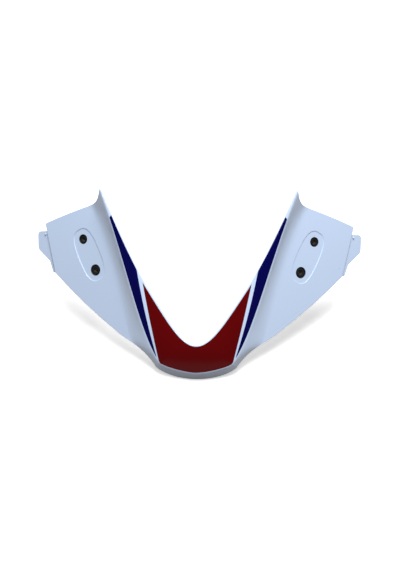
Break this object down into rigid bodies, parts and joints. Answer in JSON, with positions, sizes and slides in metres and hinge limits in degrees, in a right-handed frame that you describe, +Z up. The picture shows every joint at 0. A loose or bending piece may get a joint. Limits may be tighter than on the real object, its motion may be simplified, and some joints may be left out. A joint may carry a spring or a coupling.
{
  "type": "motorcycle front cowl panel",
  "caption": "V shaped front cowl panel with swept wings, a red and blue striped nose, recessed mirror seats with rubber bushes and set-back side tabs.",
  "frame": {"origin": "midway between the open ends of the two screw posts behind the nose", "axes": "+X towards the rider's left as the panel is seen from the front, to the right of the picture; -Y ahead of the machine; +Z up; the face leans back 40 degrees"},
  "size_m": [0.4344, 0.1817, 0.1826],
  "materials": {
    "white_paint": "gloss white paint on moulded ABS",
    "red_film": "gloss red film under clear coat",
    "blue_film": "gloss dark blue film under clear coat",
    "bush_rubber": "matt black rubber"
  },
  "bodies": {
    "root": {"shell": "white_paint", "nose_film_red": "red_film", "film_blue_left": "blue_film", "film_blue_right": "blue_film", "bush_upper_left": "bush_rubber", "bush_lower_left": "bush_rubber", "bush_upper_right": "bush_rubber", "bush_lower_right": "bush_rubber"}
  },
  "joints": []
}
